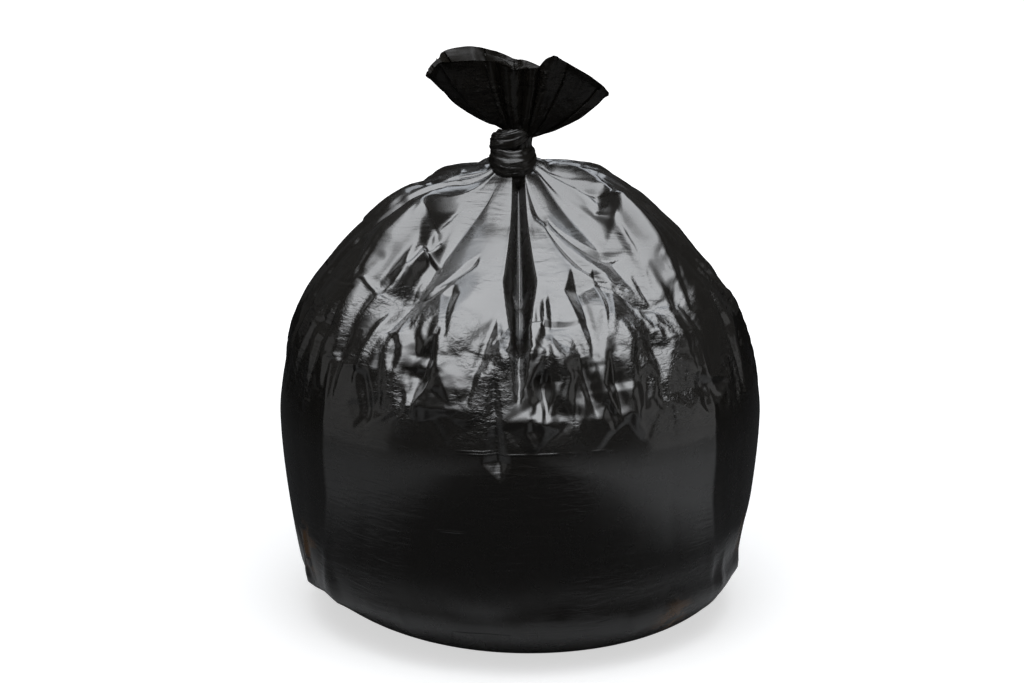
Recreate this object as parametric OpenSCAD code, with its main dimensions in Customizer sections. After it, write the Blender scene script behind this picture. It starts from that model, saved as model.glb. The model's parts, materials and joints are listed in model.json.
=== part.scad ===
// A black polythene refuse sack, filled, standing on the floor and tied shut with an overhand knot
// in its own neck. Film, knot and flared mouth are one piece, so the model is one closed solid.
//
// The skin is one grid: a ring of points for each station along the film, from the flat underside
// up the body, through the knot, up the outside of the mouth, over its lip and down its inside.
// Azimuth 0 is the front (-Y) and +90 is +X. All sizes are in millimetres.

/* [Filled body] */
// Widest diameter: the open sack is 1474 mm around
body_d = 470; // [420:5:520]
// Height of the widest level above the floor
belly_z = 200; // [180:5:230]
// Height of the crown, where the film runs in under the knot
crown_z = 440; // [410:5:500]
// Diameter of the flat underside
base_d = 284; // [240:4:320]
// Diameter at the top of the rounded heel
heel_d = 438; // [380:2:452]
// Height of the rounded heel
heel_z = 56; // [44:2:90]
// Roundness of the shoulder: 2 is an ellipse, less is closer to a cone
shoulder_bow = 1.8; // [1.5:0.1:2.3]
// Roundness of the heel: 2 is an ellipse, less is closer to a cone
heel_bow = 1.6; // [1.4:0.1:2.3]

/* [Gusset creases] */
// Width of the front panel between its two factory creases, measured round the film
panel_w = 457; // [400:1:500]
// How far each crease stands proud of the film
crease_h = 3.5; // [0:0.5:4]

/* [Pleats and gathers] */
// Depth of the deepest pleat, down the middle of the front
pleat_depth = 32; // [10:1:32]
// How far the film billows out at the sides and the back of the shoulder
billow = 7; // [0:0.5:8]
// Height of the fine gathers that run in under the knot
gather_h = 3; // [0:0.5:4]
// Depth of the puckers round the heel
pucker_h = 2; // [0:0.5:4]

/* [Knot] */
// Diameter of the gathered neck, above and below the knot
neck_d = 36; // [30:1:42]
// Diameter over the knot's wraps
knot_d = 55; // [50:1:62]
// Height of the knot
knot_h = 40; // [36:1:50]
// How far the lower wrap sags towards the front
knot_sag = 11; // [0:1:12]
// How much higher the groove between the wraps runs at the right than at the left
knot_tilt = 12; // [0:1:16]

/* [Flared mouth] */
// Width over the flared mouth
mouth_w = 174; // [140:2:200]
// Depth of the flared mouth, front to back
mouth_depth = 116; // [90:2:150]
// Height of the lip's highest corner above the knot
mouth_h = 70; // [60:2:100]
// Thickness that stands for the layers of film in the mouth
film_t = 2.4; // [2:0.2:3.2]
// Share of the mouth's reach that its folds take in
fold_share = 0.34; // [0.1:0.02:0.4]

/* [Hidden] */

film_colour = [0.05, 0.05, 0.05];

cols = 120;                     // points in a ring
heel_rings = 4;
flank_rings = 5;
dome_rings = 16;
mouth_rings = 6;

neck_r = neck_d / 2;
knot_r = knot_d / 2;
base_r = base_d / 2;
heel_r = heel_d / 2;
belly_r = body_d / 2;
knot_top = crown_z + knot_h;
throat = 0.25;                  // share of the mouth's height where its inside closes
crease_angle = panel_w / 2 / (PI * body_d) * 360;
crease_reach = 50;              // how far the film rises to each crease, on both sides
front_reach = 65;               // azimuth where the drawn, taut front ends
front_fade = 25;                // and how gradually
taut_slope = 0.62;              // the taut film of the front runs straight down at this slope
neck_slope = 1.15;              // and leaves the knot at this one
taut_r = 60;                    // it is straight from this distance outwards
taut_drop = 38.7;               // and that far under the crown there
taut_bend = 12;                 // rounds the bend where it meets the plain shoulder
cone_drop = 7.3;                // the same for the film of the sides and the back
cone_slope = 0.31;
billow_from = 30;               // distance from the middle where the billow starts
billow_span = 150;              // and how far out it runs
gathers = 30;
puckers = 15;

// Where each crease runs, as a share of crease_angle, by level. A level is 0 at the belly and 1 at
// the crown, and the floor is at about -0.8.
crease_line = [[-0.71, 1.02], [-0.58, 0.99], [-0.19, 0.88], [0.29, 0.90], [0.62, 0.97]];

// The pleats and flutes, each a low pyramid: its azimuth at the upper and at the lower end, the
// levels where it starts, is deepest and ends, its half width, and its depth as a share of
// pleat_depth, which is less than 0 where it stands out
pleats = [
    // the front
    [1, 0, 1.12, 0.77, 0.21, 18, 1.00],         [-6, -4, 0.60, 0.06, 0.00, 11, 0.15],
    [-21, -21, 0.54, 0.33, 0.17, 11, 0.17],     [-38, -32, 0.73, 0.49, 0.44, 12, -0.13],
    [-38, -43, 0.81, 0.72, 0.60, 9, 0.17],      [-43, -44, 0.88, 0.73, 0.58, 18, 0.17],
    [6, 4, 0.44, 0.33, 0.20, 13, 0.17],         [18, 18, 0.72, 0.67, 0.13, 14, 0.17],
    [40, 41, 0.67, 0.49, 0.42, 14, -0.15],      [44, 46, 0.88, 0.71, 0.53, 16, 0.17],
    // the sides
    [-65, -58, 0.93, 0.77, 0.60, 27, -0.15],    [-63, -73, 0.52, 0.47, 0.08, 10, -0.11],
    [-55, -60, 0.62, 0.42, 0.17, 13, 0.11],     [-75, -78, 0.75, 0.50, 0.21, 14, 0.11],
    [66, 54, 0.93, 0.75, 0.51, 22, -0.17],      [76, 88, 0.81, 0.48, 0.16, 13, -0.13],
    [70, 66, 0.58, 0.42, 0.17, 14, 0.11],       [82, 83, 0.94, 0.83, 0.58, 14, 0.11],
    // the back
    [93, 93, 1.00, 0.83, 0.27, 19, 0.17],       [114, 114, 1.00, 0.83, 0.27, 19, 0.26],
    [132, 132, 1.00, 0.83, 0.27, 19, 0.15],     [156, 156, 1.00, 0.83, 0.27, 19, 0.30],
    [180, 180, 1.00, 0.83, 0.27, 19, 0.17],     [201, 201, 1.00, 0.83, 0.27, 19, 0.24],
    [222, 222, 1.00, 0.83, 0.27, 19, 0.17],     [243, 243, 1.00, 0.83, 0.27, 19, 0.28],
    [264, 264, 1.00, 0.83, 0.27, 19, 0.19],
    // the heel: a tucked corner at the left, a pressed patch in the middle, and two puckers
    [-66, -68, -0.38, -0.63, -0.71, 22, -0.17], [-52, -54, -0.48, -0.62, -0.68, 19, -0.09],
    [-9, -8, -0.55, -0.58, -0.78, 38, 0.06],    [60, 61, -0.46, -0.60, -0.75, 19, -0.09],
    [76, 78, -0.42, -0.58, -0.71, 22, -0.09]
];

// The mouth's lip: azimuth, and height as a share of mouth_h above the knot
lip_points = [
    [0, 0.84], [24, 0.88], [45, 1.00], [66, 0.66], [93, 0.42], [120, 0.60], [150, 0.80],
    [186, 0.82], [216, 1.00], [240, 0.94], [270, 0.70], [300, 0.84], [324, 0.94], [345, 0.82]
];
// The mouth's folds: azimuth of each inward fold and its half width in degrees
folds = [
    [12, 15], [60, 18], [105, 15], [141, 18], [180, 18], [219, 15], [255, 18], [300, 21], [339, 15]
];

// Angle from b to a, from -180 to 180
function turn(a, b) = let(d = (a - b) % 360) d > 180 ? d - 360 : d < -180 ? d + 360 : d;

function clamp01(x) = min(1, max(0, x));
function ease(x) = let(c = clamp01(x)) c * c * (3 - 2 * c);

// A valley with a sharp floor: 1 on its line, 0 at its half width
function valley(a, centre, half) = let(x = abs(turn(a, centre)) / half) x < 1 ? pow(1 - x, 1.4) : 0;

// Height of a closed line of [azimuth, height] points, straight between them
function along(points, a, i = 0) =
    let(p = points[i], q = points[(i + 1) % len(points)], span = (q[0] - p[0] + 360) % 360,
        at = (a - p[0] + 360) % 360)
    at < span || i == len(points) - 1 ? p[1] + (q[1] - p[1]) * at / span : along(points, a, i + 1);

// Stations of the body as [radius, height, normal's outward part, normal's upward part,
// share of the way down from crown to belly, share of the way up the heel]
function heel_station(i) =
    let(t = 90 * i / heel_rings, out = pow(sin(t), 2 / heel_bow), up = 1 - pow(cos(t), 2 / heel_bow))
    [base_r + (heel_r - base_r) * out, heel_z * up, sin(t), -cos(t), 1, i / heel_rings];

function flank_station(i) =
    let(t = i / flank_rings)
    [belly_r - (belly_r - heel_r) * pow(1 - t, 1.6), heel_z + (belly_z - heel_z) * t, 1, 0, 1, 1];

function dome_station(i) =
    let(t = 90 * i / dome_rings, rise = crown_z - belly_z, run = belly_r - neck_r,
        n = norm([cos(t) * rise, sin(t) * run]))
    [neck_r + run * pow(cos(t), 2 / shoulder_bow), belly_z + rise * pow(sin(t), 2 / shoulder_bow),
     cos(t) * rise / n, sin(t) * run / n, 1 - t / 90, 1];

body_stations = [
    for (i = [0 : heel_rings]) heel_station(i),
    for (i = [1 : flank_rings]) flank_station(i),
    for (i = [1 : dome_rings]) dome_station(i)
];

// How deep a pleat p cuts at azimuth a, radius r and level v, as a share of pleat_depth
function pleat_cut(p, a, r, v) =
    let(nearness = min((p[2] - v) / (p[2] - p[3]), (v - p[4]) / (p[3] - p[4])))
    nearness <= 0 ? 0 : let(
        down = clamp01((p[2] - v) / (p[2] - p[4])),
        x = r * PI / 180 * abs(turn(a, p[0] + (p[1] - p[0]) * down)))
    p[6] * clamp01(nearness - x / p[5]);

function level(s) = (s[1] - belly_z) / (crown_z - belly_z);

// 1 on the front, whose film is drawn tight, and 0 at the sides and the back
function front_share(a) = ease((front_reach - abs(turn(a, 0))) / front_fade);

// Offset of the skin from its plain station, along the normal. It is 0 on the floor.
function body_offset(a, s) =
    let(down = s[4], r = s[0], v = level(s), near_neck = ease((0.5 - down) / 0.4),
        cut = [for (p = pleats) pleat_cut(p, a, r, v)] * [for (p = pleats) 1],
        deep = min(pleat_depth, 0.5 * (r - neck_r)),
        gather = gather_h * near_neck * ease(9 * down) * cos(a * gathers) * (0.6 + 0.4 * cos(a * 7)),
        crease_at = crease_angle * lookup(v, crease_line),
        off_crease = r * PI / 180 * abs(abs(abs(turn(a, 0)) - 90) - 90 + crease_at),
        crease = crease_h * clamp01(1 - off_crease / crease_reach) * ease(6.5 - 9 * v) * ease(2 * s[5] - 0.6),
        pucker = pucker_h * cos(a * puckers) * sin(180 * s[5]) * (0.6 + 0.4 * cos(a * 4 + 40)))
    gather * (1 - 0.7 * front_share(a)) + crease + pucker - deep * cut;

// How far the shoulder lies above its plain station: the taut front lies under it, while the sides
// and the back rise to the knot and billow
function body_lift(a, s) =
    let(r = s[0], z = s[1],
        taut = crown_z - taut_drop + taut_slope * (taut_r - r)
            + (neck_slope - taut_slope) * pow(max(taut_r - r, 0), 2) / (2 * (taut_r - neck_r)),
        over = z - taut,
        droop = -(over + norm([over, taut_bend])) / 2 * ease((level(s) - 0.3) / 0.2),
        cone = r < taut_r ? max(crown_z - cone_drop + cone_slope * (taut_r - r) - z, 0) : 0,
        puff = billow * sin(180 * clamp01((r - billow_from) / billow_span)) * (s[4] < 1 ? 1 : 0),
        front = front_share(a))
    front * droop + (1 - front) * (cone + puff);

function body_point(a, s) =
    let(d = body_offset(a, s), r = s[0] + d * s[2], z = s[1] + body_lift(a, s) + d * s[3])
    [r * sin(a), -r * cos(a), s[1] == 0 ? 0 : max(0.5, z)];

// Stations of the knot as [share of the way from neck_r to knot_r, height as a share of knot_h,
// share of knot_sag, how far the strands stand out]: the lower wrap, a groove, the upper wrap
knot_stations = [
    [0.75, -0.02, 1.0, 0.3], [0.98, 0.06, 0.9, 0.8], [1.00, 0.24, 0.7, 1.0], [0.90, 0.40, 0.6, 0.8],
    [0.55, 0.47, 0.5, 0.3], [0.82, 0.55, 0.4, 0.8], [0.90, 0.72, 0.2, 1.0], [0.70, 0.90, 0.1, 0.6],
    [0.10, 1.00, 0.0, 0.2]
];

function knot_point(a, s) =
    let(strand = 1.6 * s[3] * (cos(3 * a + 250 * s[1]) + 0.6 * cos(7 * a - 400 * s[1])),
        r = neck_r + (knot_r - neck_r) * s[0] + strand,
        sag = knot_sag * s[2] * (0.5 + 0.5 * cos(a - 15)),
        tilt = knot_tilt / 2 * sin(a) * sin(180 * clamp01(s[1])))
    [r * sin(a), -r * cos(a), crown_z + knot_h * s[1] - sag + tilt];

// A point of the mouth at a share h of the lip's height there. The inside lies film_t further in,
// and film_t higher where the mouth opens out flat above the knot.
function mouth_point(a, h, inset) =
    let(flare = 1 - pow(1 - h, 2.4),
        fold = max([for (f = folds) valley(a, f[0], f[1])]),
        reach = flare * (1 - fold_share * fold * ease(1.4 * h)),
        half_w = neck_r + (mouth_w / 2 - neck_r) * reach - inset,
        half_d = neck_r + (mouth_depth / 2 - neck_r) * reach - inset,
        lip = mouth_h * along(lip_points, a))
    [half_w * sin(a), -half_d * cos(a), knot_top + lip * h + inset * (1 - h)];

azimuths = [for (j = [0 : cols - 1]) 360 * j / cols];
outside_levels = [for (i = [1 : mouth_rings]) i / mouth_rings];
inside_levels = [for (i = [mouth_rings : -1 : 0]) throat + (1 - throat) * i / mouth_rings];

rings = [
    for (s = body_stations) [for (a = azimuths) body_point(a, s)],
    for (s = knot_stations) [for (a = azimuths) knot_point(a, s)],
    for (h = outside_levels) [for (a = azimuths) mouth_point(a, h, 0)],
    for (h = inside_levels) [for (a = azimuths) mouth_point(a, h, film_t)]
];

// Joins rings of points, each closed by its own centre point at the two ends, into one solid
module skin(rings) {
    n = len(rings[0]);
    m = len(rings);
    bottom = [0, 0, rings[0][0][2]];
    top = [0, 0, min([for (p = rings[m - 1]) p[2]])];
    points = [bottom, for (ring = rings) each ring, top];
    last = len(points) - 1;
    at = function(i, j) 1 + i * n + j % n;
    faces = [
        for (j = [0 : n - 1]) [0, at(0, j), at(0, j + 1)],
        for (i = [0 : m - 2], j = [0 : n - 1]) each [
            [at(i, j), at(i + 1, j), at(i + 1, j + 1)],
            [at(i, j), at(i + 1, j + 1), at(i, j + 1)]
        ],
        for (j = [0 : n - 1]) [last, at(m - 1, j + 1), at(m - 1, j)]
    ];
    polyhedron(points = points, faces = faces, convexity = 8);
}

module bag() {
    color(film_colour) skin(rings);
}

bag();
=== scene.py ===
# A refuse sack of thin black polythene film, filled, standing, and tied shut with a knot in its own neck
import json
import math

import bpy
import numpy as np
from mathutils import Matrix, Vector

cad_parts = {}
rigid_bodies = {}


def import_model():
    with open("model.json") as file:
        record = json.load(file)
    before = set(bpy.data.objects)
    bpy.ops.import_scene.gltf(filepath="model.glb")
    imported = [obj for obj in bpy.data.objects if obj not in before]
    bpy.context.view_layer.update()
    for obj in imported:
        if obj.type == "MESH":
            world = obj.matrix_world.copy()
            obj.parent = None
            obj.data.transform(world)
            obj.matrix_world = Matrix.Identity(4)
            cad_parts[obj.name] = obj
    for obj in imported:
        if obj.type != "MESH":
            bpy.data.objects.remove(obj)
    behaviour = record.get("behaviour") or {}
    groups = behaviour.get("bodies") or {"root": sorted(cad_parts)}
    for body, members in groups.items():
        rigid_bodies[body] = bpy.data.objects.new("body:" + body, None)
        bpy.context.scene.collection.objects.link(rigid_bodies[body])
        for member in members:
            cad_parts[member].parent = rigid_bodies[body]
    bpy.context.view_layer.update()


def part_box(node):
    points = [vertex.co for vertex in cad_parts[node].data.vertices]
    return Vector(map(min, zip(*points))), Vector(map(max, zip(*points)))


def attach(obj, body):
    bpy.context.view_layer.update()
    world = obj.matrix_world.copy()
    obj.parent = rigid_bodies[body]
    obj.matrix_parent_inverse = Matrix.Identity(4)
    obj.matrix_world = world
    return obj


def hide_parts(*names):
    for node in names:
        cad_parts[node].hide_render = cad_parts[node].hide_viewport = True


for leftover in list(bpy.data.objects):
    bpy.data.objects.remove(leftover)
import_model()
bpy.ops.object.select_all(action="DESELECT")


# The film of the filled body: a blown tube of polythene, sealed across the bottom, with gussets pressed
# flat into its sides. The rubbish stretches it up to the belly, and above that its spare girth is pulled
# in under the knot as pleats, which end as flutes on the belly.
body_radius = float(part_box("bag")[1].x)
belly_height = 0.200
crown_height = 0.440
base_radius = 0.142
heel_radius = 0.219
heel_height = 0.056
neck_radius = 0.017
shoulder_bow = 1.8
heel_bow = 1.6
flank_bow = 1.6
underside_radius = 0.100        # inside this the film lies flat and is one fan of faces
spare_width = 0.001             # the plain body is that much slimmer, as its folds stand out
body_rows = 224
body_columns = 440
fold_spread = 1.6               # a fold is a low pyramid, wider than its mean width by this
fold_share = 0.6                # and that much of its height shows between its neighbours
crease_height = 0.0035          # each gusset crease is a low tent
crease_reach = 0.05
ridge_height = 0.0008           # with a sharp ridge on top
ridge_reach = 0.006
middle_crease = -1.7            # azimuth of the crease down the middle of the belly
hem_height = 0.052
hem_ridge = 0.0014
facet_depth = 0.003
neck_slope = 1.15               # the front film leaves the knot at this slope
taut_slope = 0.62               # and runs straight down to the belly at this one
taut_start = 0.075              # outside this distance from the middle
taut_height = 0.392             # where it lies at this height
taut_bend = 0.116               # the slope changes over half this length
cone_slope = 0.31               # at the sides and the back the film leaves the knot at this slope
cone_start = 0.06               # inside this distance from the middle
cone_height = 0.4327            # where it lies at this height
billow_height = 0.007           # and it is puffed up round the knot by this
hollow_depth = 0.007            # but less so at the left

# Folds of the front, each as the azimuth at its upper and lower end in degrees, from the front towards
# the right, the heights in millimetres where it starts, is deepest and ends, its width to the left and
# right, and how far it stands out (or goes in, where negative)
front_folds = [
    # the deep valley under the knot, with thin ridges on its floor and hollows beside its foot
    (1, 0, 470, 395, 285, 9.5, 9.5, -66), (1, 0, 400, 318, 262, 7, 7, -32),
    (-4, 1, 436, 376, 284, 3, 3, 10), (15, 22, 441, 433, 429, 5, 4, -5),
    (-22, -26, 340, 285, 250, 9, 8, -15), (8, 6, 330, 285, 248, 8, 8, -15),
    (-7, -3, 379, 301, 284, 4, 4, 6), (5, 3, 403, 328, 296, 4, 5, 4),
    # left of it: flutes that hang from the lower edge of a smooth panel, and pleats beside the panel
    (-7, -12, 368, 306, 262, 20, 7, -13), (-7, -4, 330, 214, 198, 9, 6, -10),
    (-3, -9, 352, 318, 250, 6, 10, 6), (-19, -24, 330, 286, 246, 14, 10, 7),
    (-25, -18, 387, 378, 301, 5, 5, -6), (-26, -23, 352, 290, 242, 14, 12, -11),
    (-26, -24, 346, 262, 246, 4, 5, 4), (-20, -34, 412, 406, 375, 3, 4, -5),
    (-31, -26, 369, 285, 262, 9, 8, -8), (-36, -32, 368, 324, 307, 9, 5, 7),
    (-25, -34, 394, 371, 369, 4, 4, -6), (-32, -47, 389, 355, 350, 16, 6, -9),
    (-65, -59, 424, 385, 346, 16, 18, 8), (-47, -52, 359, 353, 349, 14, 8, 5),
    (-38, -43, 398, 330, 240, 5, 4, 7), (-40, -37, 292, 262, 236, 5, 6, -6),
    (-34, -32, 324, 301, 282, 6, 6, -6), (-38, -34, 345, 280, 240, 5, 5, -4),
    (-49, -49, 347, 290, 240, 8, 6, -6), (-29, -28, 301, 268, 248, 6, 6, -5),
    (-63, -73, 325, 312, 220, 6, 6, 6), (-56, -60, 352, 300, 240, 9, 7, -6),
    (-75, -78, 380, 320, 250, 10, 8, -6), (-72, -74, 434, 405, 360, 8, 8, -7),
    (-82, -84, 430, 400, 340, 8, 8, 6), (-77, -96, 440, 424, 398, 7, 7, -11),
    (-51, -43, 430, 405, 380, 5, 5, -10), (-43, -49, 386, 366, 348, 5, 5, -10),
    (-44, -38, 420, 385, 345, 12, 9, 6),
    # right of it: the same, with two flutes that start at a level crease across the smooth panel
    (24, 17, 403, 386, 260, 9, 15, -16), (35, 24, 402, 395, 320, 5, 6, -9),
    (9, 7, 340, 300, 252, 9, 12, 7), (11, 9, 381, 374, 328, 3, 4, -4),
    (15, 18, 338, 296, 250, 10, 14, -10), (6, 4, 306, 280, 247, 8, 8, -9),
    (3, 4, 262, 242, 229, 5, 5, -5), (14, 13, 301, 270, 240, 5, 5, -5),
    (24, 24, 310, 280, 244, 9, 9, -13), (21, 22, 266, 252, 240, 6, 6, -6),
    (40, 41, 362, 324, 301, 13, 4, 8), (33, 30, 328, 299, 282, 7, 6, -6),
    (42, 39, 362, 351, 301, 4, 4, -7), (40, 35, 356, 308, 250, 13, 14, -10),
    (31, 27, 345, 290, 236, 14, 12, 8), (22, 45, 416, 365, 350, 3, 3, 5),
    (24, 46, 416, 355, 348, 4, 4, -7), (22, 42, 405, 378, 376, 3, 3, -4),
    (33, 48, 391, 352, 336, 6, 14, -9), (66, 55, 424, 380, 324, 18, 10, 9),
    (44, 50, 360, 345, 331, 8, 6, 5), (60, 47, 438, 402, 352, 3, 3, 5),
    (48, 45, 392, 366, 343, 3, 3, -5), (74, 57, 440, 422, 404, 8, 8, -18),
    (55, 50, 410, 358, 335, 13, 13, 8), (65, 81, 396, 350, 306, 5, 5, 7),
    (69, 86, 396, 350, 300, 4, 4, -7), (20, 39, 431, 403, 381, 6, 6, -8),
    (24, 55, 432, 407, 392, 6, 6, -8), (68, 70, 438, 418, 396, 7, 7, -8),
    (76, 88, 395, 315, 238, 8, 8, 7), (70, 66, 340, 300, 240, 9, 9, -6),
    (82, 83, 425, 400, 340, 9, 9, -6),
    # the heel: a tucked corner at the left, a pressed patch in the middle, and puckers
    (-66, -68, 108, 48, 30, 16, 12, 9), (-72, -62, 104, 66, 26, 5, 5, -5),
    (-52, -54, 84, 52, 36, 14, 10, 6), (-9, -8, 68, 62, 14, 24, 24, -3), (10, 8, 66, 58, 10, 12, 16, 2),
    (28, 30, 60, 40, 12, 10, 12, 3), (41, 43, 74, 46, 16, 12, 14, 4), (60, 61, 90, 56, 20, 12, 12, 5),
    (-30, -32, 58, 36, 10, 12, 14, 3), (76, 78, 100, 60, 30, 14, 14, 5),
]
# The valleys of the back: azimuth and depth in millimetres
back_valleys = [
    (93, 9), (114, 14), (132, 8), (156, 16), (180, 9), (201, 13), (222, 9), (243, 15), (264, 10),
]
# The gusset creases, pressed into the film when the sack was packed: azimuth at five heights
crease_heights = [0.03, 0.06, 0.155, 0.27, 0.35]
crease_azimuths = [57, 55, 49, 50, 54]

random_source = np.random.default_rng(11)


def ease(x):
    x = np.clip(x, 0, 1)
    return x * x * (3 - 2 * x)


def turn(angle):
    """An angle in degrees brought to between -180 and 180."""
    return (angle + 180) % 360 - 180


def soft_noise(rows, columns, cells_up, cells_round):
    """Even noise from -1 to 1 on a grid that closes round the tube, with that many cells each way."""
    values = random_source.normal(size=(cells_up + 3, cells_round))
    values = np.concatenate([values, values[:, :3]], axis=1)

    def weights(count, cells, last):
        x = np.arange(count) / last * cells
        cell = np.minimum(x.astype(int), cells - 1)
        f = x - cell
        parts = [(1 - f) ** 3, 3 * f**3 - 6 * f**2 + 4, -3 * f**3 + 3 * f**2 + 3 * f + 1, f**3]
        return cell, [part / 6 for part in parts]

    up, up_weights = weights(rows, cells_up, rows - 1)
    across, across_weights = weights(columns, cells_round, columns)
    strips = sum(w[:, None] * values[up + k] for k, w in enumerate(up_weights))
    noise = sum(w[None, :] * strips[:, across + k] for k, w in enumerate(across_weights))
    return noise / np.abs(noise).max()


def distance_along(line):
    """How far along the line each of its points is."""
    return np.concatenate([[0], np.cumsum(np.linalg.norm(np.diff(line, axis=0), axis=1))])


def points_on(line, shares):
    """The points at those shares of the line's length."""
    along = distance_along(line)
    return np.stack([np.interp(shares * along[-1], along, line[:, i]) for i in (0, 1)], axis=1)


def body_profile():
    """The body without its folds, as (radius, height) points up to the neck, closer above the belly."""
    arc_points = 80
    belly_radius = body_radius - spare_width
    angle = np.linspace(0, np.pi / 2, arc_points)
    rise = np.linspace(0, 1, arc_points)[1:]
    heel = np.stack([
        base_radius + (heel_radius - base_radius) * np.sin(angle) ** (2 / heel_bow),
        heel_height * (1 - np.cos(angle) ** (2 / heel_bow)),
    ], axis=1)
    flank = np.stack([
        belly_radius - (body_radius - heel_radius) * (1 - rise) ** flank_bow,
        heel_height + (belly_height - heel_height) * rise,
    ], axis=1)
    angle = angle[1:]
    shoulder = np.stack([
        neck_radius + (belly_radius - neck_radius) * np.cos(angle) ** (2 / shoulder_bow),
        belly_height + (crown_height - belly_height) * np.sin(angle) ** (2 / shoulder_bow),
    ], axis=1)
    line = np.concatenate([[[underside_radius, 0]], heel, flank, shoulder])
    line = points_on(line, np.linspace(0, 1, 1200))
    for _ in range(100):
        line[1:-1] = (line[:-2] + 2 * line[1:-1] + line[2:]) / 4

    # nearly half of the rows lie between the belly and the upper shoulder, where the folds are
    along = distance_along(line)
    belly = along[np.argmin(np.abs(line[:, 1] - belly_height))] / along[-1]
    upper_shoulder = along[np.argmin(np.abs(line[:, 1] - 0.355))] / along[-1]
    rows = np.linspace(0, 1, body_rows)
    return points_on(line, np.interp(rows, [0, 0.21, 0.68, 1], [0, belly, upper_shoulder, 1]))


def loose_folds():
    """Folds in the form of front_folds at random places: low pyramids along the belly's upper edge at
    the front, and round the back flutes, valleys, gathers under the knot, and puckers at the heel."""
    folds = []
    for _ in range(32):
        place = random_source.uniform(-62, 62)
        deepest = random_source.uniform(248, 322)
        above = random_source.uniform(15, 55)
        below = random_source.uniform(12, 32)
        wide = random_source.uniform(9, 24, 2)
        tall = random_source.choice([-1, 1]) * random_source.uniform(0.25, 0.5) * wide.mean()
        lean = random_source.uniform(-9, 9)
        folds.append((place, place + lean, deepest + above, deepest, deepest - below, *wide, tall))
    for place in np.arange(92, 268, 4.5):
        place = place + random_source.uniform(-2, 2)
        top = random_source.uniform(330, 435)
        low = random_source.uniform(215, top - 70)
        deepest = low + (top - low) * random_source.uniform(0.15, 0.85)
        wide = random_source.uniform(5, 14, 2)
        tall = random_source.choice([-1, 1]) * random_source.uniform(0.35, 0.7) * wide.mean()
        folds.append((place, place + random_source.uniform(-3, 3), top, deepest, low, *wide, tall))
    for place, deep in back_valleys:
        folds.append((place, place, 440, 400, 265, 12, 12, -deep))
    for place in np.arange(98, 262, 7):
        place = place + random_source.uniform(-3, 3)
        deepest = random_source.uniform(400, 434)
        wide = random_source.uniform(3, 11, 2)
        tall = 0.6 * wide.mean() * random_source.choice([-1, 1, 1])
        low = random_source.uniform(335, deepest - 20)
        folds.append((place, place + random_source.uniform(-6, 6), 447, deepest, low, *wide, tall))
    for place in np.arange(94, 268, 13):
        place = place + random_source.uniform(-5, 5)
        wide = random_source.uniform(10, 16, 2)
        top = random_source.uniform(60, 100)
        low = random_source.uniform(10, 30)
        folds.append((place, place + 2, top, 50, low, *wide, 4))
    return folds


def add_folds(shape, folds, azimuth, radius, height):
    """Adds how far the folds stand out of the plain body at each point."""
    for upper, lower, top, deepest, low, left, right, stands in folds:
        down = np.clip((top - 1000 * height) / (top - low), 0, 1)
        x = 1000 * radius * np.radians(turn(azimuth - upper - (lower - upper) * down))
        across = np.where(x < 0, -x / left, x / right) / fold_spread
        along = np.minimum((top - 1000 * height) / (top - deepest), (1000 * height - low) / (deepest - low))
        shape += 0.001 * fold_share * stands * np.clip(along - across, 0, 1)


def add_creases(shape, azimuth, radius, height):
    """Adds the four gusset creases, the crease down the middle of the belly, and the hem of the flat
    bottom, which shows as a wavy ridge round the heel."""
    for side in (-1, 1):
        for corner in (0, 1):
            crease = np.interp(height, crease_heights, crease_azimuths)
            crease = side * (crease if corner == 0 else 180 - crease)
            x = radius * np.radians(np.abs(turn(azimuth - crease)))
            tent = crease_height * np.clip(1 - x / crease_reach, 0, 1)
            tent = tent + ridge_height * np.clip(1 - x / ridge_reach, 0, 1)
            shape += tent * ease((height - 0.02) / 0.05) * ease((0.37 - height) / 0.05)
    x = radius * np.radians(np.abs(azimuth - middle_crease))
    tent = 0.0011 * np.clip(1 - x / 0.022, 0, 1)
    shape += tent * ease((height - 0.02) / 0.02) * ease((0.215 - height) / 0.02)
    wander = 0.006 * np.sin(np.radians(2 * azimuth + 40))
    ripple = 0.003 * np.sin(np.radians(9 * azimuth))
    off_hem = height - hem_height - wander - ripple
    shape += hem_ridge * np.clip(1 - np.abs(off_hem) / 0.008, 0, 1)


def facet_fan(azimuth, height):
    """Long flat facets that fan out from the neck: how far each point is out of the plain body, in
    parts of facet_depth. Each edge between two facets has its own lean, and a depth at three heights."""
    places = np.cumsum(random_source.uniform(3.5, 11, 60))
    places = places[places < 355]
    lean = random_source.uniform(-8, 8, len(places))
    stands = random_source.normal(size=(3, len(places)))
    facets = np.zeros((body_rows, body_columns))
    for row, level in enumerate(height[:, 0]):
        depths = [np.interp(level, [0.30, 0.37, 0.44], edge) for edge in stands.T]
        facets[row] = np.interp(azimuth[0], places + lean * (0.44 - level) / 0.1, depths, period=360)
    return facets


def smooth_panels(azimuth, height):
    """1 on the two smooth panels of the front, each side of the valley, and 0 beside them."""
    left_edge = np.interp(height, [0.30, 0.34, 0.399, 0.42, 0.438], [-24, -32, -38, -48, -59])
    right_edge = np.interp(height, [0.33, 0.354, 0.409, 0.439], [38, 46, 49, 54])
    return ease((azimuth - left_edge) / 4) * ease((right_edge - azimuth) / 4)


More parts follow.
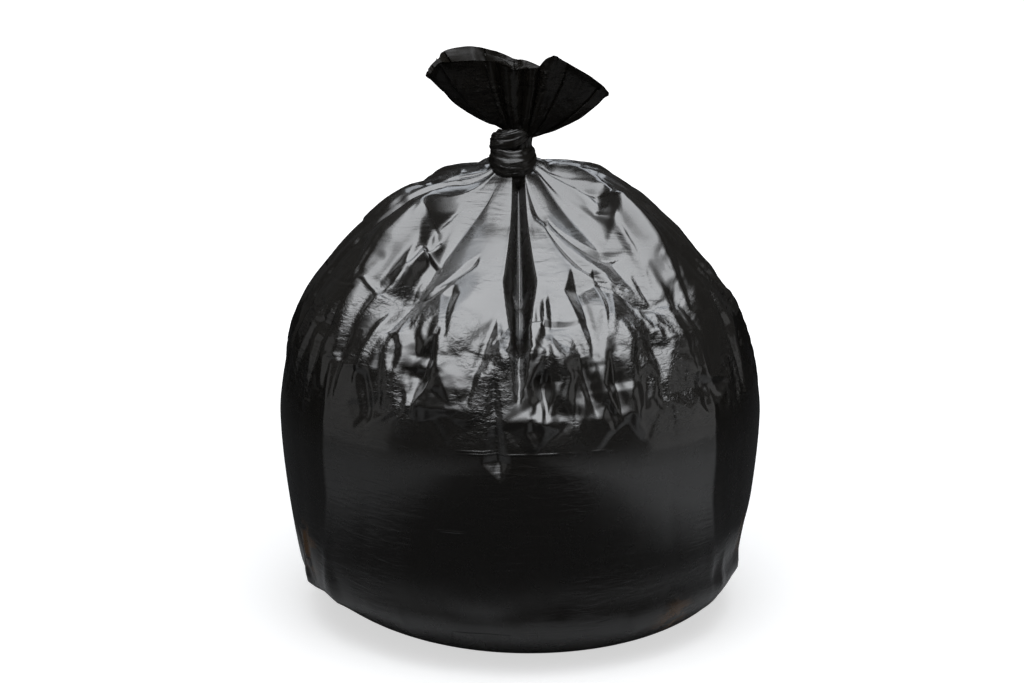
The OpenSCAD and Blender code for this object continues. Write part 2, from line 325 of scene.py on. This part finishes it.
def crown_lift(azimuth, radius, height, facets):
    """How far the film lies above or below the plain crown. At the sides and the back it is puffed up
    round the neck, and at the front it is drawn down taut from the knot to the belly."""
    widen = np.interp(radius, [0.03, 0.11], [40, 0])
    from_left = ease((56 + widen + azimuth) / (20 + widen))
    from_right = ease((64 + widen - azimuth) / (20 + widen))
    sides = 1 - from_left * from_right
    cone = np.maximum(cone_height + cone_slope * (cone_start - radius) - height, 0)
    cone = np.where(radius < cone_start, cone, 0)
    billow = billow_height * np.sin(np.pi * np.clip((radius - 0.03) / 0.15, 0, 1))
    leftness = np.maximum(-np.sin(np.radians(azimuth)), 0) ** 2
    hollow = hollow_depth * leftness * np.sin(np.pi * np.clip((radius - 0.01) / 0.1, 0, 1))

    steep = np.maximum(taut_start - radius, 0)
    taut = taut_height + taut_slope * (taut_start - radius)
    taut = taut + (neck_slope - taut_slope) * steep**2 / taut_bend
    wave = np.sin(np.radians(7 * azimuth + 250)) + 0.7 * np.sin(np.radians(16 * azimuth + 20))
    above = height - taut - (0.004 * wave + 0.0018 * facets) * ease((radius - 0.12) / 0.06)
    droop = -(above + np.sqrt(above**2 + 0.008**2)) / 2 * ease((height - 0.272) / 0.048)
    return sides * (cone + billow - hollow) + (1 - sides) * droop


def crumpling(azimuth, radius, height, smooth):
    """How much the film crumples, from 1 where it is loose to 0 on the belly and the smooth panels."""
    front = ease((62 - np.abs(azimuth)) / 20)
    crumple = ease((height - 0.22) / 0.05) * (1 - smooth * ease((height - 0.32) / 0.03)) * (1 - 0.6 * front)
    crumple *= 1 - ease(2 - radius * np.radians(np.abs(azimuth)) / 0.02) * ease((height - 0.27) / 0.03)
    crumple *= 1 - 0.85 * ease((height - 0.355) / 0.03) * ease((95 - np.abs(azimuth)) / 20)
    return crumple


def laid_out_body():
    """The body's film with its folds laid out, as a grid of points, and how much it crumples where."""
    line = body_profile()
    out = np.stack([np.gradient(line[:, 1]), -np.gradient(line[:, 0])], axis=1)
    out /= np.linalg.norm(out, axis=1, keepdims=True)
    radius = line[:, :1]
    height = line[:, 1:]
    # the columns of points stand closer together at the front
    even = 2 * np.pi * np.arange(body_columns) / body_columns
    azimuth = turn(np.degrees(even + 0.4 * np.sin(even))[None] + 180)

    shape = np.zeros((body_rows, body_columns))
    add_folds(shape, front_folds + loose_folds(), azimuth, radius, height)
    add_creases(shape, azimuth, radius, height)
    facets = facet_fan(azimuth, height)
    smooth = smooth_panels(azimuth, height)
    fading = ease((height - 0.25) / 0.08)
    shape += facet_depth * facets * fading * (1 - smooth) * np.minimum(1, radius / 0.1)
    lift = crown_lift(azimuth, radius, height, facets)

    # the sack is not quite round: a little fuller at the right, and at the left above the belly, and
    # its bottom lies a little to the right
    angle = np.radians(azimuth)
    right = np.maximum(np.sin(angle), 0) ** 2 * ease((height - 0.06) / 0.06) * ease((0.38 - height) / 0.08)
    left = np.maximum(-np.sin(angle), 0) ** 2 * ease((height - 0.24) / 0.05) * ease((0.40 - height) / 0.06)
    r = radius + shape * out[:, :1] + 0.004 * right + 0.005 * left
    shift = 0.011 * (1 - ease(height / 0.07))
    film = np.stack([
        r * np.sin(angle) + shift, -r * np.cos(angle), np.maximum(height + lift + shape * out[:, 1:], 0),
    ], axis=-1)
    return film, crumpling(azimuth, radius, height, smooth)


def pull(a, b, length, give):
    """Half of what brings the points a and b to that length apart. Pushing apart is weaker by give."""
    d = b - a
    far = np.sqrt(np.einsum("ijk,ijk->ij", d, d)) + 1e-9
    share = (far - length) / far
    share = np.where(share < 0, share * give, share) / 2
    return d * share[..., None]


def settle(film, spare_round, spare_up, steps, stiffness, room, held_rows):
    """Crumples a tube of film that has that much spare length round it and up it. Its points are
    drawn back beyond room from where they were laid out, and the held rows stay put."""
    drag = 0.92                 # the film keeps this share of its speed at each step
    round_push = 0.8            # how hard it pushes back where it is squeezed round the tube
    up_push = 0.6               # and up it
    slant_push = 0.3            # and aslant
    slant_share = 0.35          # and it resists aslant by only this share
    hold = 0.4                  # this share of what it strayed too far is taken back at each step
    film = film.astype(np.float32)
    laid = film.copy()
    rows = len(film)
    round_it = np.linalg.norm(np.roll(film, -1, axis=1) - film, axis=2) * (1 + spare_round).astype(np.float32)
    up_it = np.linalg.norm(film[1:] - film[:-1], axis=2) * (1 + spare_up[:-1]).astype(np.float32)
    slack = 1 + (spare_round[:-1] + spare_up[:-1]).astype(np.float32) / 2
    slants = []
    for lean in (1, -1):
        slant = np.linalg.norm(np.roll(film[1:], -lean, axis=1) - film[:-1], axis=2) * slack
        slants.append((lean, slant))
    moving = np.zeros_like(film)
    for _ in range(steps):
        moving *= drag
        bow = np.roll(film, 1, axis=1) + np.roll(film, -1, axis=1) - 2 * film
        moving -= stiffness * (np.roll(bow, 1, axis=1) + np.roll(bow, -1, axis=1) - 2 * bow)
        bow = np.zeros_like(film)
        bow[1:-1] = film[2:] - 2 * film[1:-1] + film[:-2]
        moving[2:-2] -= stiffness * (bow[3:-1] - 2 * bow[2:-2] + bow[1:-3])
        before = film.copy()
        film += moving
        for _ in range(2):
            shift = pull(film[:, 0::2], film[:, 1::2], round_it[:, 0::2], round_push)
            film[:, 0::2] += shift
            film[:, 1::2] -= shift
            other = np.roll(film[:, 0::2], -1, axis=1)
            shift = pull(film[:, 1::2], other, round_it[:, 1::2], round_push)
            film[:, 1::2] += shift
            film[:, 0::2] -= np.roll(shift, 1, axis=1)
            for first in (0, 1):
                last = first + (rows - first) // 2 * 2
                shift = pull(film[first:last:2], film[first + 1:last:2], up_it[first:last - 1:2], up_push)
                film[first:last:2] += shift
                film[first + 1:last:2] -= shift
            film[held_rows] = laid[held_rows]
        for lean, slant in slants:
            for first in (0, 1):
                other = np.roll(film[first + 1::2], -lean, axis=1)
                last = first + 2 * len(other)
                shift = slant_share * pull(film[first:last:2], other, slant[first:last:2], slant_push)
                film[first:last:2] += shift
                film[first + 1::2] -= np.roll(shift, lean, axis=1)
        strayed = film - laid
        far = np.sqrt(np.einsum("ijk,ijk->ij", strayed, strayed)) + 1e-9
        film -= strayed * (hold * np.maximum(far - room, 0) / far)[..., None]
        film[..., 2] = np.maximum(film[..., 2], 0)
        film[held_rows] = laid[held_rows]
        moving = film - before
    return film


def settled_body():
    """The body's film with its folds, crumpled where it is loose."""
    film, crumple = laid_out_body()
    noise = [soft_noise(body_rows, body_columns, body_rows // 8, body_columns // 3) for _ in range(2)]
    stir = 0.0003 * crumple * soft_noise(body_rows, body_columns, 40, 150)
    film = film + stir[..., None] * film / np.linalg.norm(film, axis=2, keepdims=True)
    spare_round = crumple * (0.03 + 0.05 * noise[0])
    spare_up = crumple * (0.012 + 0.02 * noise[1])
    room = 0.0003 + 0.0022 * crumple
    return settle(film, spare_round, spare_up, 160, 0.0003, room, held_rows=[0, 1, -2, -1])


def tube_mesh(name, points, closed):
    """A mesh object of a grid of points that closes round the tube, and at its ends where closed says."""
    rows, columns, _ = points.shape
    first = np.arange(rows - 1)[:, None] * columns
    a = first + np.arange(columns)[None]
    b = first + (np.arange(columns)[None] + 1) % columns
    quads = np.stack([a, b, b + columns, a + columns], axis=-1).reshape(-1, 4)
    vertices = [tuple(p) for p in points.reshape(-1, 3).astype(float)]
    faces = [tuple(q) for q in quads.tolist()]
    for end, row in enumerate((0, rows - 1)):
        if closed[end]:
            centre = len(vertices)
            vertices.append(tuple(points[row].mean(axis=0).astype(float)))
            for j in range(columns):
                p = row * columns + j
                q = row * columns + (j + 1) % columns
                faces.append((centre, q, p) if end == 0 else (centre, p, q))
    mesh = bpy.data.meshes.new(name)
    mesh.from_pydata(vertices, [], faces)
    mesh.update()
    mesh.polygons.foreach_set("use_smooth", [True] * len(mesh.polygons))
    piece = bpy.data.objects.new(name, mesh)
    bpy.context.scene.collection.objects.link(piece)
    return piece


class Value:
    """A shader socket that can be added to, taken from and multiplied."""

    def __init__(self, nodes, socket):
        self.nodes = nodes
        self.socket = socket

    def math(self, operation, *others, first=None):
        sockets = [self if first is None else first, *others]
        return self.nodes.add("ShaderNodeMath", {"operation": operation}, sockets)

    def __add__(self, other):
        return self.math("ADD", other)

    def __sub__(self, other):
        return self.math("SUBTRACT", other)

    def __rsub__(self, other):
        return self.math("SUBTRACT", self, first=other)

    def __mul__(self, other):
        return self.math("MULTIPLY", other)

    __radd__ = __add__
    __rmul__ = __mul__


class Finish:
    """The shader nodes of a material or of the background."""

    def __init__(self, owner):
        owner.use_nodes = True
        self.tree = owner.node_tree

    def add(self, kind, settings=None, inputs=(), output=0):
        """A node of that kind, with its settings made first and then its inputs set or linked."""
        node = self.tree.nodes.new(kind)
        for key, value in (settings or {}).items():
            setattr(node, key, value)
        items = inputs.items() if isinstance(inputs, dict) else enumerate(inputs)
        for key, value in items:
            self.put(node.inputs[key], value)
        return Value(self, node.outputs[output])

    def put(self, socket, value):
        if isinstance(value, Value):
            self.tree.links.new(value.socket, socket)
        else:
            socket.default_value = value

    def noise(self, place, scale, detail=4.0, roughness=0.55, stretch=(1, 1, 1), distortion=0.0):
        spot = self.add("ShaderNodeVectorMath", {"operation": "MULTIPLY"}, [place, stretch])
        return self.add("ShaderNodeTexNoise", {}, {
            "Vector": spot, "Scale": scale, "Detail": detail, "Roughness": roughness,
            "Distortion": distortion,
        })

    def between(self, value, low, high):
        """0 below low, 1 above high, and smooth between."""
        return self.add("ShaderNodeMapRange", {"interpolation_type": "SMOOTHSTEP"}, {
            "Value": value, "From Min": low, "From Max": high,
        })


film_black = (0.009, 0.0078, 0.0062, 1)
patch_brown = (0.17, 0.085, 0.028, 1)
# Where the film's base colour has brown patches: at the lower left, at the right, and low at the front
brown_patches = [(-0.204, -0.100, 0.085), (0.228, -0.055, 0.092), (0.150, -0.160, 0.030)]
# The level creases: height, left end and right end
level_creases = [(0.2245, -0.16, -0.01), (0.222, -0.08, 0.09), (0.1475, -0.08, -0.015)]


def pressed_marks(film, place, x, y, z):
    """What the packing pressed into the front: level hairline creases, and a square by the bottom."""
    front = 1 - film.between(y, -0.12, -0.09)
    marks = 0
    for level, left, right in level_creases:
        off = (z - level - 0.01 * (x + 0.02)).math("ABSOLUTE")
        inside = film.between(x, left, left + 0.02) * (1 - film.between(x, right - 0.02, right))
        marks = marks + 0.22 * inside * (1 - film.between(off, 0.0002, 0.0016))
    square = film.between(x, -0.062, -0.060) * (1 - film.between(x, -0.008, -0.006))
    square = square * (1 - film.between(z, 0.043, 0.045))
    patches = film.add("ShaderNodeTexNoise", {}, {"Vector": place, "Scale": 22.0})
    broken = film.between(patches, 0.42, 0.56)
    return front * (marks * broken + 0.6 * square)


def with_brown_patches(film, place):
    """The film's black, with the brown patches mixed into it."""
    patch_mask = 0
    for spot in brown_patches:
        far = film.add("ShaderNodeVectorMath", {"operation": "DISTANCE"}, [place, spot], output=1)
        patch_mask = patch_mask + (1 - film.between(far, 0.014, 0.034))
    patch_mask = patch_mask * film.between(film.noise(place, 45, 3, 0.6, (1, 1, 2)), 0.46, 0.52)
    colours = {0: patch_mask, 6: film_black, 7: patch_brown}
    return film.add("ShaderNodeMix", {"data_type": "RGBA"}, colours, output=2)


def film_finish(name, crinkle, low=0.0, high=9.0, sheen=1.0, pressed=False):
    """Black polythene film: a sharp sheen over a softer one, with fine crinkles by that amount, most
    of them between the heights low and high. Pressed film has the packing's marks and the brown patches."""
    material = bpy.data.materials.new(name)
    film = Finish(material)
    place = film.add("ShaderNodeTexCoord", output=3)
    x, y, z = (film.add("ShaderNodeSeparateXYZ", {}, [place], output=i) for i in range(3))
    zone = film.between(z, low, low + 0.05) * (1 - film.between(z, high - 0.05, high))
    crinkled = zone * film.between(film.noise(place, 16, 2), 0.42, 0.58)
    level = film.noise(place, 120, 2, 0.6, (1, 1, 1.9), 0.6)
    fine = film.noise(place, 330, 2, 0.6, (1, 1, 1.6), 0.4)
    soft = film.noise(place, 24, 2, 0.5, (1, 1, 0.6))
    ripples = film.noise(place, 70, 2, 0.5, (0.45, 0.45, 2.6), 0.8)
    rippled = film.between(film.noise(place, 9, 1), 0.48, 0.6)
    height = level * crinkled + 0.25 * fine * (0.15 + crinkled)
    height = height + 0.5 * soft + 0.35 * ripples * rippled
    if pressed:
        height = height + pressed_marks(film, place, x, y, z)
    bump = {"Height": height, "Strength": 1.0, "Distance": 0.0022 * crinkle}
    surface = film.tree.nodes["Principled BSDF"]
    film.put(surface.inputs["Base Color"], with_brown_patches(film, place) if pressed else film_black)
    film.put(surface.inputs["Roughness"], 0.22 + 0.10 * film.noise(place, 30, 3))
    film.put(surface.inputs["Normal"], film.add("ShaderNodeBump", {}, bump))
    surface.inputs["Specular IOR Level"].default_value = sheen
    surface.inputs["Coat Weight"].default_value = sheen
    surface.inputs["Coat Roughness"].default_value = 0.10
    return material


body = tube_mesh("body_film", settled_body(), (True, True))
body.data.materials.append(film_finish("black_film", 0.95, 0.21, 0.37, pressed=True))
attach(body, "root")
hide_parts("bag")


# The knot. The sack's own neck, gathered to a rope of pleated film and tied in an overhand knot: its
# lower wrap sags over the front, the upper one rises across it, and both ends go into the middle.
knot_centre = (-0.005, 0.001)
wrap_start = -200               # azimuth where the wrap comes out of the middle
wrap_end = 500
wrap_stations = 360
section_points = 96
core_stations = 60
core_bottom = 0.418
core_top = 0.492

# The wrap's middle line: its azimuth in degrees, and in millimetres its height, its distance from the
# knot's middle, its half width up and down, and its half thickness
wrap_line = [
    (-200, 434, 4.0, 9, 6), (-150, 437, 9.0, 11, 7.5), (-90, 447, 14, 13, 9), (-50, 446, 15, 16, 9.5),
    (-10, 441, 15.5, 19, 10), (30, 440, 15.5, 19.5, 10), (90, 447, 13.5, 15, 9), (150, 453, 12, 12, 8.5),
    (210, 457, 13, 12, 8.5), (270, 462, 14.5, 12.5, 9), (320, 465, 14.5, 12, 9), (360, 467, 13, 11, 8.5),
    (400, 472, 12, 9, 8), (450, 474, 9, 8, 7), (500, 475, 4, 7, 5),
]


def rope_mesh(name, middle, sideways, half_width, half_thickness, turns_of_pleats):
    """A rope of gathered film along a line of points: an oval section, wider along sideways, with
    sharp pleats that run along the rope and drift slowly round it."""
    count = len(middle)
    ahead = np.gradient(middle, axis=0)
    ahead /= np.linalg.norm(ahead, axis=1, keepdims=True)
    wide = sideways - ahead * np.sum(sideways * ahead, axis=1, keepdims=True)
    wide /= np.linalg.norm(wide, axis=1, keepdims=True)
    thick = np.cross(ahead, wide)
    angle = 2 * np.pi * np.arange(section_points) / section_points
    drift = np.linspace(0, turns_of_pleats, count)[:, None]
    lumps = soft_noise(count, section_points, count // 14, 7)
    pleat = np.zeros((count, section_points))
    for waves, share in ((6, 0.6), (11, 0.45), (19, 0.3)):
        wander = 2.0 * soft_noise(count, section_points, count // 30, 5)
        pleat += share * (1 - 2 * np.abs(np.sin(waves / 2 * (angle[None] + drift) + wander)))
    swell = 1 + 0.085 * pleat + 0.14 * lumps
    points = middle[:, None] + wide[:, None] * (half_width[:, None] * np.cos(angle) * swell)[..., None]
    points += thick[:, None] * (half_thickness[:, None] * np.sin(angle) * swell)[..., None]
    return tube_mesh(name, points, (True, True))


table = np.array(wrap_line, float)
along = np.linspace(wrap_start, wrap_end, wrap_stations)
height, distance, half_width, half_thickness = (
    np.interp(along, table[:, 0], table[:, i]) * 0.001 for i in (1, 2, 3, 4)
)
for _ in range(40):
    for line in (height, distance, half_width, half_thickness):
        line[1:-1] = (line[:-2] + 2 * line[1:-1] + line[2:]) / 4
direction = np.radians(along)
middle = np.stack([
    knot_centre[0] + distance * np.sin(direction), knot_centre[1] - distance * np.cos(direction), height,
], axis=1)
upwards = np.repeat([[0.0, 0.0, 1.0]], wrap_stations, axis=0)
wrap = rope_mesh("knot_wrap", middle, upwards, half_width, half_thickness, 1.5)

# the gathered neck and mouth run through the wraps
core_height = np.linspace(core_bottom, core_top, core_stations)
core_line = np.stack([
    np.interp(core_height, [core_bottom, 0.45, core_top], [0, knot_centre[0], 0.002]),
    0 * core_height, core_height,
], axis=1)
core_levels = [core_bottom, 0.43, 0.462, 0.478, core_top]
core_half = np.interp(core_height, core_levels, [0.020, 0.017, 0.017, 0.0145, 0.016])
sidewards = np.repeat([[1.0, 0.0, 0.0]], core_stations, axis=0)
core = rope_mesh("knot_core", core_line, sidewards, core_half, core_half, 0.6)

bpy.ops.object.select_all(action="DESELECT")
wrap.select_set(True)
core.select_set(True)
bpy.context.view_layer.objects.active = wrap
bpy.ops.object.join()
knot = wrap
knot.name = "knot"
knot.data.materials.append(film_finish("knotted_film", 1.6, sheen=0.45))
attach(knot, "root")


# The flared mouth: the top of the sack above the knot, where the gathered film opens out again. It
# lies in laps, each folded back over the one before, up to the cut lip, a single layer of thin film.
mouth_rows = 41
mouth_neck_height = 0.471
mouth_neck_radius = 0.0125
mouth_neck_tilt = 0.35          # the film leaves the knot lower at the right by this slope
lap_count = 13
lap_thickness = 0.0045
lip_curl = 0.0022
layer_columns = 320
lip_columns = 1040

# The lip, from the front over the right, in millimetres: it dips in the middle of the front, and
# rises to a corner each side of the two pointed ends
lip_points = [
    (6, -25, 536), (14, -34, 536), (20, -26, 536), (31, -34, 548), (43, -27, 542), (61, -16, 531),
    (78, -6, 518), (84, 0, 509), (78, 10, 508), (58, 26, 516), (34, 33, 524), (8, 32, 536), (-4, 28, 538),
    (-20, 34, 543), (-37, 40, 547), (-49, 40, 548), (-69, 30, 545), (-75, 16, 539), (-83, 4, 532),
    (-83, -3, 527), (-75, -14, 538), (-67, -20, 541), (-47, -26, 543), (-29, -30, 543), (-21, -24, 541),
    (-11, -37, 540), (-3, -34, 536),
]


def mouth_shape():
    """The mouth's film as one smooth layer: rows from the knot to the lip, columns round it."""
    lip = 0.001 * np.array(lip_points, float)
    place = np.arange(layer_columns) / layer_columns * len(lip)
    cell = place.astype(int)
    f = (place - cell)[:, None]
    near = [lip[(cell + k) % len(lip)] for k in (-1, 0, 1, 2)]
    rim = near[1] + 0.5 * f * (near[2] - near[0] + f * (
        2 * near[0] - 5 * near[1] + 4 * near[2] - near[3] + f * (3 * (near[1] - near[2]) + near[3] - near[0])
    ))
    round_it = np.unwrap(np.arctan2(rim[:, 0], -rim[:, 1]))
    even = round_it[0] + 2 * np.pi * np.arange(layer_columns) / layer_columns
    way = 0.5 * (round_it + even)
    neck = np.stack([
        mouth_neck_radius * np.sin(way), -mouth_neck_radius * np.cos(way),
        mouth_neck_height - mouth_neck_tilt * mouth_neck_radius * np.sin(way),
    ], axis=1)
    bend = rim * (0.66, 0.66, 0)
    bend[:, 2] = neck[:, 2] + 0.30 * (rim[:, 2] - neck[:, 2])
    t = np.linspace(0, 1, mouth_rows)[:, None, None]
    return (1 - t) ** 2 * neck + 2 * t * (1 - t) * bend + t**2 * rim


def crumpled_mouth():
    """The single layer, crumpled, and its normals."""
    layer = mouth_shape()
    free = np.linspace(0, 1, mouth_rows)[:, None]
    noise = [soft_noise(mouth_rows, layer_columns, 12, 60) for _ in range(2)]
    spare = 0.03 * ease(free / 0.3)
    stir = 0.0012 * free * soft_noise(mouth_rows, layer_columns, 8, 40)
    layer = layer + stir[..., None] * (0, 0, 1)
    spare_round, spare_up = (spare + 0.06 * each * free for each in noise)
    layer = settle(layer, spare_round, spare_up, 180, 0.001, 0.004, held_rows=[0, 1])
    layer = layer.astype(float)
    side = np.roll(layer, -1, axis=1) - np.roll(layer, 1, axis=1)
    outwards = np.cross(side, np.gradient(layer, axis=0))
    return layer, outwards / (np.linalg.norm(outwards, axis=2, keepdims=True) + 1e-12)


def lapped(layer, outwards):
    """The film laid over that layer in laps: it goes forwards, folds back, and goes on forwards."""
    widths = 1 + 0.35 * random_source.uniform(-1, 1, lap_count)
    starts = np.concatenate([[0], np.cumsum(widths)]) / widths.sum()
    step = 1 / lap_count
    forward = 2.8 * step
    back = 1.8 * step
    travel = np.arange(lip_columns) / lip_columns * lap_count
    lap = travel.astype(int)
    part = (travel - lap) * (forward + back)
    place = np.where(part < forward, part, 2 * forward - part)
    depth = np.where(part < forward, part / forward, (2 * forward - part - step) / back)
    where = lap * step + place
    where = np.interp(where % 1, np.arange(lap_count + 1) * step, starts) + np.floor(where)
    free = np.linspace(0, 1, mouth_rows)[:, None]
    skew = 0.006 * soft_noise(mouth_rows, lip_columns, 2, 40) * free
    spot = (where[None] + skew) % 1 * layer_columns
    left = spot.astype(int) % layer_columns
    f = (spot - spot.astype(int))[..., None]
    row = np.arange(mouth_rows)[:, None]
    right = (left + 1) % layer_columns
    surface = layer[row, left] * (1 - f) + layer[row, right] * f
    normal = outwards[row, left] * (1 - f) + outwards[row, right] * f
    thick = lap_thickness * (0.25 + 0.75 * ease(free / 0.5))
    curl = lip_curl * ease((free - 0.93) / 0.07) * (0.5 + soft_noise(mouth_rows, lip_columns, 2, 60))
    return surface + normal * (thick * (0.5 - np.clip(depth, 0, 1)[None]) + curl)[..., None]


mouth = tube_mesh("mouth_film", lapped(*crumpled_mouth()), (False, False))
mouth.data.materials.append(film_finish("loose_film", 1.2, sheen=0.17))
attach(mouth, "root")


# The studio: a pale floor that runs out into a white background, one large soft light overhead, and
# dim panels at the sides and the front, which the flanks and the belly of the sack reflect.
camera_data = bpy.data.cameras.new("camera")
camera_data.sensor_width = 36
camera_data.lens = 78.8
camera = bpy.data.objects.new("camera", camera_data)
bpy.context.scene.collection.objects.link(camera)
bpy.context.scene.camera = camera
camera_distance = 2.2
camera_elevation = math.radians(15)
camera_aim = Vector((-0.0059, 0, 0.2646))
camera_way = Vector((0, -math.cos(camera_elevation), math.sin(camera_elevation)))
camera.location = camera_aim + camera_distance * camera_way
camera.rotation_euler = (-camera_way).to_track_quat("-Z", "Y").to_euler()


def panel_light(name, place, aim, width, depth, radiance, colour=(1, 1, 1)):
    """A soft rectangular light that looks equally bright from all sides in front of it."""
    light = bpy.data.lights.new(name, "AREA")
    light.shape = "RECTANGLE"
    light.size = width
    light.size_y = depth
    light.energy = radiance * math.pi * width * depth
    light.color = colour
    lamp = bpy.data.objects.new(name, light)
    bpy.context.scene.collection.objects.link(lamp)
    lamp.visible_camera = False
    lamp.location = place
    lamp.rotation_euler = (Vector(aim) - Vector(place)).to_track_quat("-Z", "Y").to_euler()


# the overhead light fades out to its sides and to the front in steps, as each panel is larger than
# the one under it
panel_height = 1.33
panel_back = 0.25
cool_white = (0.95, 0.97, 1.0)
overhead_panels = [(0.55, 0.95, 1.6), (0.70, 1.2, 0.7), (0.85, 1.5, 0.5), (1.05, 1.95, 0.4), (1.3, 2.6, 0.25)]
for step, (half_width, front, radiance) in enumerate(overhead_panels):
    depth = front + panel_back
    place = (0, panel_back - depth / 2, panel_height + 0.02 * step)
    under = (place[0], place[1], 0)
    panel_light("overhead_" + str(step + 1), place, under, 2 * half_width, depth, radiance, cool_white)
panel_light("overhead_back", (0.05, 0.75, panel_height), (0.05, 0.75, 0), 0.95, 1.00, 1.9, (0.88, 0.93, 1.0))
panel_light("front_glow", (0, -3.0, 1.25), (0, 0, 0.3), 2.2, 1.2, 0.16)
panel_light("right_panel", (1.66, -0.36, 0.25), (0, 0, 0.2), 1.2, 1.2, 0.26)
panel_light("left_panel", (-1.66, -0.36, 0.25), (0, 0, 0.2), 1.2, 1.2, 0.16)

bpy.ops.mesh.primitive_circle_add(vertices=96, radius=14, fill_type="NGON", location=(0, 0, 0))
floor = bpy.context.object
floor.name = "floor"
floor_material = bpy.data.materials.new("pale_floor")
ground = Finish(floor_material)
ground_place = ground.add("ShaderNodeTexCoord", output=3)
ground_far = ground.add("ShaderNodeVectorMath", {"operation": "LENGTH"}, [ground_place], output=1)
to_camera = ground.add("ShaderNodeLightPath", output=0)
ground_x, ground_y = (ground.add("ShaderNodeSeparateXYZ", {}, [ground_place], output=i) for i in (0, 1))

# as the camera sees it: a pale floor with the sack's soft shadow, which glows to white further out
pale = ground.add("ShaderNodeBsdfDiffuse", {}, [(0.60, 0.60, 0.60, 1)])
glow = ground.add("ShaderNodeEmission", {}, [(1, 1, 1, 1), 0.62 + 0.6 * ground.between(ground_far, 0.3, 1.5)])
lit = ground.add("ShaderNodeAddShader", {}, [pale, glow])

# as the film reflects it: dark, with paler stretches at the sides and under the heel
before_sack = 1 - ground.between(ground_y, -0.2, 0.05)
right_side = ground.between(ground_x, 0.28, 0.50) * before_sack
left_side = ground.between(0 - ground_x, 0.30, 0.55) * before_sack
near_sack = 1 - ground.between(ground_far, 0.22, 0.36)
shade = 0.03 + 0.30 * right_side + 0.16 * left_side + 0.25 * near_sack
dim = ground.add("ShaderNodeBsdfDiffuse", {}, [ground.add("ShaderNodeCombineXYZ", {}, [shade, shade, shade])])
floor_look = ground.add("ShaderNodeMixShader", {}, [to_camera, dim, lit])
ground.put(ground.tree.nodes["Material Output"].inputs[0], floor_look)
floor.data.materials.append(floor_material)

# the background is white to the camera, and nearly dark in what the film reflects
world = bpy.data.worlds.new("studio")
bpy.context.scene.world = world
sky = Finish(world)
background = world.node_tree.nodes["Background"]
sky.put(background.inputs["Color"], (1, 1, 1, 1))
sky.put(background.inputs["Strength"], 0.03 + 0.97 * sky.add("ShaderNodeLightPath", output=0))

bpy.context.scene.view_settings.view_transform = "Standard"
